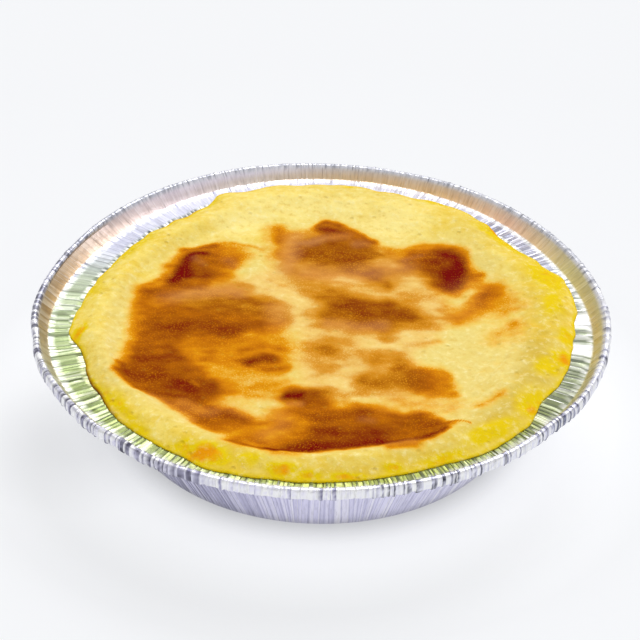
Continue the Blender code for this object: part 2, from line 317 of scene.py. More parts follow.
# Strokes and spots: level, half-width, softness, then the line in mm. Low levels lighten.
STROKES = (
    # left
    (0.5, 3, 4, ((-54, 15), (-44, 15), (-34, 17))),
    (0.44, 1.8, 3.4, ((-39, 23), (-30, 20))),
    (0.24, 3, 4, ((-19, 25), (-19, 31))),
    (0.32, 1.8, 3, ((-5, 3), (-4, 8))),
    (0.66, 2, 2.4, ((-62, 21), (-54, 22), (-48, 21))),
    (0.58, 1.8, 3, ((-64, 26), (-69, 20))),
    (0.66, 1.4, 2.4, ((-70, 14.5), (-64, 16), (-58, 17))),
    (0.64, 3, 3.6, ((-38, 3), (-32, 1), (-30, -3))),
    (0.48, 2.4, 3.6, ((-18, 5), (-16, -3))),
    (0.66, 3, 4, ((-66, 0), (-66, -12), (-67, -24))),
    (0.84, 2.8, 3.8, ((-62, -11), (-52, -9), (-44, -10), (-34, -12.5))),
    (0.5, 2.4, 2.8, ((-70, 8), (-62, 6), (-52, 9))),
    (0.46, 1.6, 2.8, ((-54, -23), (-50, -26))),
    (0.72, 4, 4, ((-66, -32), (-60, -38))),
    (0.78, 3.2, 3.2, ((-58, -30), (-54, -35))),
    (1, 0.6, 0.8, ((-58.5, -35),)),
    (0.78, 6, 5, ((-66, -42), (-56, -47), (-46, -50))),
    (0.74, 1.6, 2.4, ((-78, -41), (-75, -46), (-70, -51))),
    (0.88, 1.6, 2.4, ((-76, -36), (-75, -40), (-70, -46))),
    (0.84, 2, 2.8, ((-53, -48), (-48, -50))),
    (0.84, 2, 2.4, ((-44, -46), (-41, -49))),
    (0.5, 0.9, 1, ((-48.5, -47), (-46.5, -48.5))),
    (0.78, 2, 2.2, ((-66, -51), (-56, -55), (-46, -57))),
    (0.7, 2, 2, ((-41, -63), (-34, -66), (-28, -69))),
    (0.66, 2.4, 2.2, ((-44, -70), (-38, -71))),
    (0.46, 1.8, 1.8, ((-47, -62.5), (-44, -64))),
    # left middle
    (0.36, 4.5, 6, ((-44, -27), (-38, -35), (-29, -42), (-19, -48))),
    (0.1, 2, 3.6, ((-33, -55), (-24, -54))),
    (0.68, 3, 4.5, ((-53, -15), (-46, -17))),
    (0.58, 3, 4, ((-55, -37), (-45, -42))),
    (0.62, 2, 4, ((-49, -36), (-46, -37.5))),
    (0.52, 2.2, 3.2, ((-44, -21), (-34, -20), (-24, -20.5))),
    (0.56, 1.6, 1.8, ((-46, -25), (-42, -25.5))),
    (0.44, 2, 2.6, ((-30, -24), (-14, -23))),
    (0.5, 2.2, 2.6, ((-44, -31), (-34, -31), (-26, -31.5))),
    (0.86, 2, 2.2, ((-27, -32), (-22, -30.5), (-19, -31))),
    (0.5, 2.6, 2.4, ((-21, -36), (-15, -36))),
    (0.22, 2.4, 4, ((-40, -37), (-36, -39))),
    (0.26, 2.4, 3, ((-26, -53), (-19, -52))),
    # upper left patch
    (1, 2.1, 2, ((-49, 43), (-53, 42.5), (-55, 39), (-55.5, 33), (-57.5, 28), (-60.5, 23.5))),
    (1, 2.2, 2, ((-57, 30), (-55, 29))),
    (0.76, 2.6, 2.6, ((-50, 33), (-47, 28))),
    (0.3, 2.8, 4, ((-37, 44), (-30, 43))),
    (0.3, 1.1, 1.8, ((-41, 51.5), (-35, 50.5), (-29, 49.5), (-24, 47))),
    (0.66, 1.4, 1.6, ((-58, 46), (-52, 46), (-45, 49.5))),
    # top patch
    (0.18, 2, 2.8, ((-24, 64), (-24, 58), (-22, 53))),
    (0.46, 1.4, 2.2, ((-19, 65), (-18.5, 57), (-18, 50), (-17.5, 44))),
    (0.18, 2, 2.4, ((-22, 50), (-21, 40))),
    (0.88, 2.2, 2.4, ((0, 63.5), (4, 62.5), (9, 58.5))),
    (0.72, 1.4, 2, ((-1, 66), (2, 69), (8.5, 64.5), (15, 59.5), (21, 55))),
    (0.56, 1.6, 1.6, ((-10, 51), (-2, 55.5), (5, 58), (11, 57))),
    (0.74, 3.6, 3.6, ((-6, 46), (4, 50), (10, 45))),
    (0.7, 2.6, 3, ((10, 38), (18, 42))),
    (0.44, 2, 2.4, ((27, 49), (29, 44), (34, 44))),
    (0.68, 2.6, 3.2, ((20, 31), (24, 27), (28, 24))),
    (0.18, 3, 3.4, ((7, 27), (14, 26))),
    (0.16, 3, 3.2, ((34, 24), (38, 20))),
    # upper right patch
    (0.38, 1.8, 3.4, ((28, 49), (36, 50), (41, 51))),
    (0.18, 2, 3.4, ((33, 28),)),
    (0.88, 4, 3.6, ((50, 42), (52, 33), (51, 25))),
    (1, 2.6, 2.6, ((51, 43.5), (54.5, 42), (56, 38), (55.5, 33), (54, 27))),
    (0.66, 2.6, 2.8, ((36, 38), (42, 48))),
    (0.5, 1.8, 2.2, ((64, 31), (62, 26))),
    # middle right
    (0.8, 3, 4, ((12, 3), (22, 2), (34, 1))),
    (0.76, 2.4, 2.8, ((16, 9), (26, 8))),
    (0.44, 1.8, 2.6, ((34, -6), (40, -5), (47, -6.5))),
    (0.5, 2.4, 2.6, ((6, -5),)),
    (0.54, 2, 2.6, ((26, -8), (26, -15))),
    (0.4, 2, 2.8, ((32, 15), (35, 13))),
    (0.3, 2, 3, ((47, 5), (50, 9))),
    (0.34, 3, 4.5, ((37, 13), (45, 15))),
    (0.2, 4, 6, ((72, 2), (80, 8))),
    (0.32, 4.4, 5.6, ((69, 22), (70, 17), (66, 10), (58, 3), (54, 0))),
    (0.3, 3, 4.5, ((75, 14), (74, 7))),
    (0.72, 2.6, 4.6, ((63, 11), (66, 14), (68, 19))),
    (0.42, 2.4, 4, ((52, 0), (57, 1), (59, 2))),
    (0.26, 3.6, 6, ((68, -14), (75, -12), (80, -6))),
    (0.3, 2.2, 3.4, ((71, -10), (75, -8), (77, -5))),
    (0.1, 2.6, 3.4, ((64, -36), (67, -34))),
    # middle
    (0.6, 2.6, 4, ((-1, -22), (5, -24))),
    (0.34, 3, 4, ((-6, -22), (10, -28))),
    (0.36, 3.6, 4.5, ((-4, -31), (0, -35))),
    (0.3, 1.6, 3, ((-4, -17),)),
    (0.58, 2.4, 3.4, ((-1, -22), (4, -24))),
    (0.46, 2, 2.2, ((0, -34.5), (4, -34.5))),
    (0.42, 2.2, 3.4, ((2, -17), (10, -17), (14, -22), (17, -29), (21, -33))),
    (0.6, 3.2, 4.4, ((23, -27), (31, -29))),
    (0.3, 1.8, 3, ((34, -20), (46, -16))),
    # lower right patch
    (0.7, 2.6, 3.2, ((31, -36), (36, -39), (38, -45))),
    (0.64, 1.8, 2.4, ((17, -43), (21, -46))),
    (0.5, 1.8, 2.4, ((42, -51), (50, -51))),
    (0.46, 2.4, 3.4, ((47, -39), (49, -47))),
    (0.26, 4, 5, ((27, -55), (42, -58), (50, -58))),
    # front patch
    (0.7, 2.6, 3, ((-9, -52), (-5, -53.5))),
    (1, 1.6, 1.7, ((-12.5, -54.5), (-7.5, -54.5))),
    (0.44, 1, 1.2, ((-11, -58.5), (-7.5, -58.5))),
    (0.76, 2.6, 2.8, ((12, -62), (15, -66))),
    (0.66, 3, 4, ((-2, -66), (2, -74))),
    (0.84, 2.6, 3.4, ((2, -76), (14, -77), (22, -76))),
    (0.74, 3.2, 3.4, ((37, -68), (41, -72))),
    (0.22, 3.2, 3.6, ((6, -53), (9, -59))),
    (0.66, 1.2, 1.8, ((-33, -84), (-24, -87), (-16, -88.5))),
    (0.92, 1.2, 1.8, ((-18, -88), (-8, -87.5), (2, -86), (12, -84), (22, -82.5), (32, -82.8),
        (40, -80.5), (47, -75.5))),
    (0.94, 1.6, 2.4, ((-10, -85), (2, -83.5), (12, -82), (22, -80.5))),
    (0.62, 0.4, 0.6, ((48, -70.5), (51, -70), (54, -70.5), (56, -72.5))),
    (0.5, 2, 3, ((26, -87), (35, -86))),
    (0.3, 1.4, 2.6, ((-16, -92), (-8, -93))),
    (0.42, 1.3, 3, ((60, -60), (64, -57), (68, -54))),
)
CURVE_STEPS = 5  # short runs between two points of a line
FIELD_SOFTNESS = 2.5  # times the softness given above
FIELD_INSET = 0.24  # of that softness, by which a field is drawn in
STROKE_SOFTNESS = 1.4
FINE_STROKE = 1.25  # half-width in mm up to which a stroke stays crisp
EDGE_DRIFT = (1.3, 0.4)  # how far the browning's edges wander, in mm: wide and fine
SKIN_MIDDLE = (0.3, 1.7)  # of the outlines above, in mm
SKIN_STRETCH = 1.007  # from front to back
BROWNED_RADIUS = 97 * MM  # nothing is browned beyond it

# Paler, less yellow skin: the whole browned middle and a halo round it.
SKIN = ((-83, 0), (-80, 16), (-70, 24), (-67, 38), (-57, 51), (-40, 56), (-26, 53), (-24, 68),
        (-10, 71), (2, 75), (16, 69), (28, 59), (40, 58), (60, 56), (68, 44), (74, 30),
        (80, 14), (80, -10), (76, -36), (66, -58), (52, -74), (36, -86), (10, -90),
        (-16, -91), (-36, -84), (-54, -74), (-70, -60), (-83, -46), (-86, -30))

# Inside this the faint browning is tan; outside, where it fades into the ring, it is orange.
TAN = ((-60, 13), (-42, 21), (-26, 30), (-17, 44), (-14, 58), (-4, 59), (4, 55), (20, 52),
       (30, 44), (44, 30), (47, 14), (50, -2), (46, -14), (38, -26), (34, -50), (12, -55),
       (-2, -52), (-8, -40), (-7, -20), (-12, -8), (-30, 0), (-52, 4))

# Painted sheen, a pale pinkish highlight on the browned skin: strength, half-width, softness, line
# in mm.
PAINTED_SHEEN = (
    (0.75, 2, 3, ((-14, 53), (-6, 53), (2, 57), (10, 58))),
    (0.55, 4, 4, ((-12, 58), (-14, 44), (-14, 34))),
    (0.55, 2, 2.4, ((14, 53), (18, 54))),
    (0.6, 1.4, 2, ((-53, 39), (-49, 35))),
    (0.55, 2, 2.4, ((-39, 39), (-36, 35))),
    (0.6, 1.6, 2, ((34, 41), (40, 44))),
    (0.5, 5, 5, ((-6, 32), (8, 30), (26, 34), (34, 36))),
    (0.55, 4, 4, ((-62, 10), (-48, 15), (-34, 16))),
    (0.45, 3, 3, ((3, -6), (14, -8), (24, -6))),
    (0.4, 4, 5, ((-18, 4), (-16, -8))),
    (0.7, 1.2, 1.4, ((-12, -59), (-7, -59))),
    (0.55, 3, 2.6, ((-52, -60), (-44, -64), (-40, -64))),
    (0.55, 3, 4, ((-36, -60), (-24, -64), (-16, -66))),
    (0.55, 3, 4, ((-18, -58), (-14, -72), (-20, -78))),
    (0.55, 4, 5, ((28, -58), (40, -57), (50, -60))),
    (0.5, 1.6, 2, ((25, -84.5), (35, -84))),
    (0.5, 1.8, 2, ((16, -68.5), (20, -69))),
    (0.6, 1.8, 2.4, ((-64, -56), (-54, -63), (-48, -70))),
    (0.4, 5, 6, ((56, 4), (60, 22), (50, 10))),
)

# Deeper yellow near the edge, where the ring baked on to the foil: middle x and y, half-length
# and half-width in mm, turn in degrees, strength from yellow to orange.
DEEP_PATCHES = (
    (-42, -92, 8, 3.6, -15, 1), (-49, -89, 5, 4, 0, 0.65), (-67, -77, 5, 3, -35, 0.5),
    (-77, -57, 4, 3, 0, 0.45), (-25, -95, 5, 3, 0, 0.45), (-13, -100, 5, 2.4, 0, 0.85),
    (-4, -102.5, 4, 1.6, 0, 0.75), (10, -102.5, 6, 1.8, 0, 0.8), (27, -98, 3.6, 2.6, 0, 0.75),
    (46, -91, 8, 2.5, 22, 0.65), (64, -76, 11, 3.5, 38, 0.55), (81, -57, 8, 5, 62, 0.6),
    (80, -61, 3, 2, 60, 0.85), (87, -35, 5, 4, 60, 0.5), (95, -28, 4.5, 4.5, 60, 0.85),
    (97, -13, 5, 3.2, 90, 0.65), (93, 8, 9, 4, 80, 0.5), (92, 28, 12, 6, 110, 0.6),
    (77, 56, 16, 4, -52, 0.6), (-80, 46, 14, 4, 55, 0.5), (74, 65, 8, 1.8, -50, 1),
    (47, 87, 7, 3, -25, 0.5), (11, 98, 3, 2, 0, 0.55), (-61, 71, 18, 2.2, 41, 0.75),
    (-93, 18, 12, 5, 80, 0.35), (-95, -17, 5, 2, 80, 0.8), (-79, -58, 20, 2.2, -52, 0.6),
)
# Parts of the ring with painted light, paler and creamier, and parts with painted shade, duller,
# given the same way.
PAINTED_LIGHT_PATCHES = (
    (-4, 79, 32, 9, 0, 0.7), (28, 68, 13, 16, -40, 0.75), (-32, 68, 14, 9, 25, 0.75),
)
PAINTED_SHADE_PATCHES = (
    (86, 4, 16, 10, 95, 0.55), (80, -32, 20, 12, 72, 1), (66, -60, 20, 10, 48, 1),
    (40, -85, 18, 7, 20, 0.6), (2, -96, 26, 7, 0, 0.4), (-34, -86, 12, 7, -20, 0.65),
    (66, 62, 16, 9, -48, 0.45), (24, 92, 34, 6, -8, 0.4),
)


def turned(x, y, degrees):
    """Distances along and across a direction."""
    turn = math.radians(degrees)
    return x * math.cos(turn) + y * math.sin(turn), y * math.cos(turn) - x * math.sin(turn)


def strongest(x, y, patches):
    """Strength of the strongest soft-edged patch at each point."""
    out = np.zeros(len(x))
    for middle_x, middle_y, length, width, degrees, strength in patches:
        along, across = turned(x - middle_x, y - middle_y, degrees)
        spot = np.exp(-((along / length) ** 2 + (across / width) ** 2) ** 1.4 / 1.7)
        out = np.maximum(out, strength * spot)
    return out


def deep_yellow(x, y, inset, seed_points):
    """Strength of the deeper yellow, with a thin line of it all round the edge."""
    x = x + 2.0 * clouds(seed_points, 6 * MM, 12.0)
    y = y + 2.0 * clouds(seed_points, 6 * MM, 14.0)
    line = 0.42 * smooth(1 - inset / (2.6 * MM))
    deep = np.maximum(line, strongest(x, y, DEEP_PATCHES))
    return deep * (1.0 + 0.3 * clouds(seed_points, 2.6 * MM, 16.0))


def paint_top(points, edge):
    """Strengths of the browning and of the other colours at each point of the top."""
    x = points[:, 0] / MM - SKIN_MIDDLE[0]
    y = (points[:, 1] / MM - SKIN_MIDDLE[1]) / SKIN_STRETCH
    radius, azimuth = polar(points)
    near = radius < BROWNED_RADIUS
    level_points = points * (1, 1, 0)
    flat = level_points[near]
    wide, fine = EDGE_DRIFT
    brown_x = x[near] + wide * clouds(flat, 9 * MM, 3.1) + fine * clouds(flat, 3.5 * MM, 8.4)
    brown_y = y[near] + wide * clouds(flat, 9 * MM, 5.7) + fine * clouds(flat, 3.5 * MM, 1.9)
    level = np.zeros(len(flat))
    for target, soft, outline in FIELDS:
        spread = soft * FIELD_SOFTNESS
        share = field(brown_x, brown_y, outline, spread, spread * FIELD_INSET)
        level += (target - level) * share
    for target, width, soft, line in STROKES:
        spread = soft * (STROKE_SOFTNESS if width > FINE_STROKE else 1)
        level += (target - level) * stroke(brown_x, brown_y, line, width, spread)
    painted_sheen = np.zeros(len(flat))
    for strength, width, soft, line in PAINTED_SHEEN:
        painted_sheen = np.maximum(painted_sheen, strength * stroke(brown_x, brown_y, line, width, soft))
    stretched = flat * (0.5, 1, 1)
    streaks = 0.19 * clouds(stretched, 5 * MM, 2.2) + 0.14 * clouds(stretched, 2.4 * MM, 4.4)
    tan = field(brown_x, brown_y, TAN, 5)
    firm = smooth((level - 0.22) / 0.25)
    faint = (1 - firm) * (0.4 + 0.2 * tan) * smooth(level / 0.1)
    level += streaks * (firm + faint) * (1 - 0.5 * level)
    rim = smooth(1 - (edge - radius) / (1.3 * MM))
    out = {"deep": deep_yellow(x, y, edge - radius, level_points),
           "painted_light": strongest(x, y, PAINTED_LIGHT_PATCHES),
           "painted_shade": strongest(x, y, PAINTED_SHADE_PATCHES),
           "burnt": rim * smooth(1 - np.abs(around(azimuth, -150)) / 22)}
    for name, values in (("browning", np.clip(level, 0, 1)),
                         ("skin", field(brown_x, brown_y, SKIN, 6)), ("tan", tan),
                         ("painted_sheen", painted_sheen * (0.35 + 0.65 * tan))):
        out[name] = np.zeros(len(points))
        out[name][near] = values
    return out


# ---------------------------------------------------------------- the pie

def disc_from_square(u, v):
    """Even map of a square onto a disc: each square ring becomes a circle."""
    wide = np.abs(u) > np.abs(v)
    safe_u = np.where(np.abs(u) < 1e-9, 1e-9, u)
    safe_v = np.where(np.abs(v) < 1e-9, 1e-9, v)
    radius = np.where(wide, u, v)
    turn = np.where(wide, math.pi / 4 * v / safe_u, math.pi / 2 - math.pi / 4 * u / safe_v)
    return radius * np.cos(turn), radius * np.sin(turn)


def edge_at(azimuth):
    """Outline of the baked edge, with the ragged scallops where it set on the foil."""
    stations, reaches = np.array(EDGE_LINE + ((360, EDGE_LINE[0][1]),)).T
    azimuth = azimuth % 360
    span = np.clip(np.searchsorted(stations, azimuth, side="right") - 1, 0, len(EDGE_LINE) - 1)
    share = smooth((azimuth - stations[span]) / (stations[span + 1] - stations[span]))
    radius = reaches[span] + (reaches[span + 1] - reaches[span]) * share
    turn = np.radians(azimuth)
    circle = np.column_stack((np.cos(turn), np.sin(turn), np.zeros_like(turn)))
    back = smooth(np.sin(turn) / 0.5)
    ragged = 0.35 * clouds(circle, 0.045, 6.0) + (0.5 + 0.8 * back) * clouds(circle, 0.09, 2.0)
    return (radius + ragged) * MM


def top_height(points, edge):
    """Height of the baked top over the brim."""
    radius, azimuth = polar(points)
    foot = line_round(azimuth, FOOT_RADIUS, FOOT_BULGES)
    width = np.minimum(SHOULDER_MOST, SHOULDER_SHARE * (edge - foot))
    inward = np.clip((edge - radius) / width, 0, 1)
    shoulder = np.sin(math.pi / 2 * inward) ** SHOULDER_ROUNDING
    crest = edge - width
    sunk = smooth((crest - radius) / (crest - foot))
    flat = points * (1, 1, 0)
    lump = clouds(flat, 17 * MM)
    ring_lump = clouds(flat + (0, 0, 27 * MM), 27 * MM)
    height = RISE * shoulder * (1 + 0.12 * ring_lump) - DISH_DEPTH * sunk
    height += shoulder * lump * 0.55 * MM
    height += shoulder * creases(radius, azimuth)
    for centre_x, centre_y, length, width, degrees, rise in BLISTERS:
        along, across = turned(points[:, 0] / MM - centre_x, points[:, 1] / MM - centre_y,
                               degrees)
        dome = np.exp(-(along / length) ** 2 - (across / width) ** 2)
        height += sunk * rise * MM * dome
    fine = 0.18 * clouds(flat, 4.2 * MM, 7.0) + 0.08 * clouds(flat, 1.9 * MM, 9.0)
    ring = (0.5 * clouds(flat, 6.5 * MM, 4.0) + 0.3 * clouds(flat, 2.8 * MM, 6.0)) * (1 - sunk)
    return height + shoulder * (fine + ring) * MM


def creases(radius, azimuth):
    """Fine ridges that run round the slope at the right, where the skin slid as it sank."""
    gap = around(azimuth, -38)
    share = np.exp(-(gap / 34) ** 2 - ((radius - 78 * MM) / (11 * MM)) ** 2)
    drift = 0.35 * np.sin(np.radians(azimuth) * 5)
    return share * 0.35 * MM * np.sin(math.tau * (radius / (5.4 * MM) + drift))


def pie_blank():
    """Square sheet with its edge pulled down in loops, to be shaped into the pie."""
    bm = bmesh.new()
    bmesh.ops.create_grid(bm, x_segments=GRID, y_segments=GRID, size=1.0)
    rim = [edge for edge in bm.edges if edge.is_boundary]
    for _ in range(len(BODY_LOOPS)):
        grown = bmesh.ops.extrude_edge_only(bm, edges=rim)["geom"]
        corners = [item for item in grown if isinstance(item, bmesh.types.BMVert)]
        bmesh.ops.translate(bm, verts=corners, vec=(0, 0, -1))
        rim = [item for item in grown if isinstance(item, bmesh.types.BMEdge)]
    bmesh.ops.contextual_create(bm, geom=rim)
    bmesh.ops.recalc_face_normals(bm, faces=bm.faces)
    return mesh_from(bm, "baked_cheese_pie")


def wall_radius(height):
    slope = (FLANGE_INNER - BASE_RADIUS) / (FLANGE_LEVEL - 0.5 * MM)
    return BASE_RADIUS + slope * height


# Radius and height of the loops under the edge, down the body to the tin's base.
BODY_LOOPS = (
    (EDGE_RADIUS * 2, FLANGE_LEVEL + 0.05 * MM),
    (FLANGE_INNER - BODY_GAP, FLANGE_LEVEL + 0.02 * MM),
    (FLANGE_INNER - BODY_GAP - 0.3 * MM, FLANGE_LEVEL - 0.5 * MM),
    (wall_radius(20 * MM) - BODY_GAP, 20 * MM),
    (wall_radius(BASE_ROUNDING) - BODY_GAP, BASE_ROUNDING),
    (BASE_RADIUS - BASE_ROUNDING, 0.8 * MM),
)


LEDGE = 0.12 * MM  # by which the first loop stands out from the edge
TUCK = 1.1 * MM  # by which the loops under it stay behind the edge


def baked_pie(material):
    mesh = pie_blank()
    points = positions(mesh)
    loop = np.rint(-points[:, 2]).astype(int)
    x, y = disc_from_square(points[:, 0], points[:, 1])
    share, azimuth = polar(np.column_stack((x, y)))
    edge = edge_at(azimuth)
    radius = EDGE_RADIUS * share + (edge - EDGE_RADIUS) * share ** EDGE_PULL
    turn = np.radians(azimuth)
    points[:, 0] = radius * np.cos(turn)
    points[:, 1] = radius * np.sin(turn)
    top = loop == 0
    points[top, 2] = BRIM_LEVEL + top_height(points[top], edge[top])
    for number, (loop_radius, level) in enumerate(BODY_LOOPS, start=1):
        there = loop == number
        reach = np.minimum(loop_radius, edge[there] + (LEDGE if number == 1 else -TUCK))
        points[there, 0] = reach * np.cos(turn[there])
        points[there, 1] = reach * np.sin(turn[there])
        points[there, 2] = level
    set_positions(mesh, points)
    for name, values in paint_top(points, edge).items():
        store(mesh, name, np.where(loop > 1, 0, values))
    return finish_piece("baked_cheese_pie", mesh, material, "cheese_pie")


# ---------------------------------------------------------------- the foil tin

def arc(centre, reach, start, end, steps):
    out = []
    for step in range(steps + 1):
        turn = math.radians(start + (end - start) * step / steps)
        out.append((centre[0] + reach * math.cos(turn), centre[1] + reach * math.sin(turn)))
    return out


def between(start, end, share):
    return tuple(a + (b - a) * share for a, b in zip(start, end))


def tin_profile():
    """Underside of the foil, from the hidden end of the bead to the middle of the base.

    Each point is (radius, height, share of the folds' height, zone, station). Stations are
    0 at the bead, 1 and 2 at the flange's outer and inner corner and 3 at the wall's foot.
    """
    reach = BEAD_WIDTH / 2 - SHEET
    middle = RIM_RADIUS - BEAD_WIDTH / 2
    low = (middle, TIN_HEIGHT - BEAD_DEPTH + BEAD_WIDTH / 2)
    high = (middle, TIN_HEIGHT - BEAD_WIDTH / 2)
    under = FLANGE_LEVEL - SHEET
    wall_angle = math.atan2(under, FLANGE_INNER - BASE_RADIUS)
    flat_radius = BASE_RADIUS - BASE_ROUNDING * math.tan(wall_angle / 2)
    out = []
    for radius, height in arc(low, reach, -150, 0, 4):
        out.append((radius, height, 0.8, "skirt", 0.0))
    out.append((middle + reach, (low[1] + high[1]) / 2, 0.8, "skirt", 0.1))
    curl = arc(high, reach, 0, 150, 5)
    for number, (radius, height) in enumerate(curl):
        out.append((radius, height, 0.8, "bead" if number > 1 else "skirt", 0.3))
    lip_low = (FLANGE_OUTER + SHEET, under)
    for share in (0.25, 0.6, 0.92):
        out.append((*between(curl[-1], lip_low, share), 0.55, "lip", 0.3 + 0.7 * share))
    for share, zone in ((0.04, "hinge"), (0.3, "flange"), (0.56, "flange"), (0.76, "flange"),
                        (0.88, "corner")):
        radius = FLANGE_OUTER + (FLANGE_INNER - FLANGE_OUTER) * share
        out.append((radius, under, 1.0, zone, 1 + share))
    for step in range(3):
        turn = wall_angle * step / 2
        radius = FLANGE_INNER - FLANGE_ROUNDING * (0.1 - 0.25 * math.sin(turn) + 0.1 * step)
        drop = FLANGE_ROUNDING * (1 - math.cos(turn))
        out.append((radius, under - drop, 0.9, "corner", 2.0))
    top, low = ((wall_radius(level), level)
                for level in (FLANGE_LEVEL - 2.4 * MM, BASE_ROUNDING * 0.7))
    for share in (0, 0.15, 0.3, 0.45, 0.6, 0.75, 0.9, 1.0):
        out.append((*between(top, low, share), 0.75 - 0.45 * share, "wall", 2.1 + 0.9 * share))
    for share in (0.75, 0.5, 0.25, 0.0):
        turn = wall_angle * share
        out.append((flat_radius + BASE_ROUNDING * math.sin(turn),
                    BASE_ROUNDING * (1 - math.cos(turn)), 0.12 * share, "wall", 3.0))
    for radius, height in ((66, 0), (64.5, 0.35), (63, 0.35), (61.5, 0), (0, 0)):
        out.append((radius * MM, height * MM, 0.0, "base", 3.0))
    return out


def drifting(rng, keep, low=-1, high=1):
    """Four values, one for each station, each partly like the one before."""
    out = [rng.uniform(low, high)]
    for _ in range(3):
        out.append(out[-1] * keep + rng.uniform(-1, 1) * (1 - keep))
    return np.array(out)


def by_azimuth(table, degrees):
    rows = list(zip(*table))
    return float(np.interp(degrees, rows[0], rows[1], period=360))


def one_fold(rng, degrees):
    """Places, lifts, tones and crimps of a fold's four columns, at the four stations."""
    recess = rng.random() < by_azimuth(PAINTED_DARK_FOLDS, degrees)
    shade = drifting(rng, 0.55, -0.9, 0.8)
    shaded = shade + drifting(rng, 0.4, -0.5, 0.5)
    rise = CREASE_HEIGHT * (0.7 + 0.5 * drifting(rng, 0.5)) * (-1 if recess else 1)
    tilt = LAND_TILT * drifting(rng, 0.5)
    ends = (0.5 if recess else 1 - CREASE_SHARE) + 0.10 * drifting(rng, 0.3)
    thin = 0.5 + 0.4 * drifting(rng, 0.2)
    second = ends + (1 - ends) * (0.18 if recess else 0.25)
    third = second + (0.97 - second) * thin
    even = np.ones(4)
    # A recess gets painted shade; other folds get a crease with a painted bright highlight and a
    # painted darker foot.
    if recess:
        depth = rng.uniform(0.7, 1.2)
        tones = (shade, shaded, -depth * even, -0.8 * depth * even)
        lifts = (tilt, -0.4 * tilt, rise, rise)
    else:
        tones = (shade, shaded, rng.uniform(0.5, 1.5) * even, -rng.uniform(0.0, 1.4) * even)
        lifts = (tilt, -0.4 * tilt, rise, -0.6 * rise)
    crimps = [rng.uniform(0.2, 1.0), rng.uniform(-0.1, 1.0), rng.uniform(0.3, 1.0), 0.9]
    # A dark crimp is painted shade.
    if rng.random() < by_azimuth(PAINTED_DARK_CRIMPS, degrees):
        first = rng.choice((0, 1, 2))
        crimps[first] = rng.uniform(-1.0, -0.4)
        crimps[first + 1] = rng.uniform(-1.0, 0.1)
    return (0 * even, ends, second, third), lifts, tones, crimps


FOLDED_DEGREES = 359.2  # the folds drawn to fill this are then widened to a full turn


def fold_columns():
    """Azimuth of each column of the folded foil, then its sway, height and shade by station.

    A fold is a flat land beside a bright crease or a dark recess, four columns in all. Shade
    is painted light and shade, from -1 dark to 1 bright. The last table is the painted shade on
    the bead's outer side.
    """
    rng = random.Random(11)
    widths = []
    while sum(widths) < FOLDED_DEGREES:
        widths.append(by_azimuth(FOLD_WIDTHS, sum(widths)) * rng.uniform(0.5, 1.5))
    scale = math.tau / sum(widths)
    starts = [sum(widths[:number]) * scale for number in range(len(widths))]
    sways = []
    for width, start in zip(widths, starts):
        sway = width * scale * 0.3 * drifting(rng, 0.3)
        sway[3] += math.radians(by_azimuth(FOOT_LEAN, math.degrees(start)))
        sways.append(sway)
    columns = []
    for width, start, sway, after in zip(widths, starts, sways, sways[1:] + sways[:1]):
        span = width * scale
        for places, lift, tone, crimp in zip(*one_fold(rng, math.degrees(start))):
            middle = sum(places) / 4
            lean = sway + (after - sway) * places + span * (places - middle)
            columns.append((start + span * middle, lean, lift, tone, crimp))
    azimuths, leans, heights, shades, crimps = (
        np.array([column[number] for column in columns]) for number in range(5))
    return azimuths, leans, heights, np.clip(shades, -1, 1), crimps


def at_station(table, column, station):
    """Value of a column at a station, evenly between the nearest two."""
    lower = np.minimum(station.astype(int), 2)
    share = station - lower
    return table[column, lower] * (1 - share) + table[column, lower + 1] * share


def turned_sheet(profile, columns):
    """Open sheet from a profile turned round Z, with each vertex's place in the profile."""
    bm = bmesh.new()
    place = bm.verts.layers.float.new("place")
    line = []
    for number, (radius, height, _, _, _) in enumerate(profile):
        corner = bm.verts.new((radius, 0, height))
        corner[place] = number
        line.append(corner)
    edges = [bm.edges.new(pair) for pair in zip(line, line[1:])]
    bmesh.ops.spin(bm, geom=line + edges, cent=(0, 0, 0), axis=(0, 0, 1),
                   angle=math.tau, steps=columns, use_merge=True)
    bmesh.ops.remove_doubles(bm, verts=bm.verts, dist=0.001 * MM)
    bmesh.ops.recalc_face_normals(bm, faces=bm.faces)
    bm.faces.ensure_lookup_table()
    lowest = min(bm.faces, key=lambda face: face.calc_center_median().z)
    if lowest.normal.z > 0:
        bmesh.ops.reverse_faces(bm, faces=bm.faces)
    return mesh_from(bm, "folded_foil_tin")


def profile_normals(profile):
    """Direction (radial, up) away from the foil's upper side at each profile point."""
    spots = np.array([point[:2] for point in profile])
    along = np.gradient(spots, axis=0)
    out = np.column_stack((-along[:, 1], along[:, 0]))
    return out / np.linalg.norm(out, axis=1)[:, None]


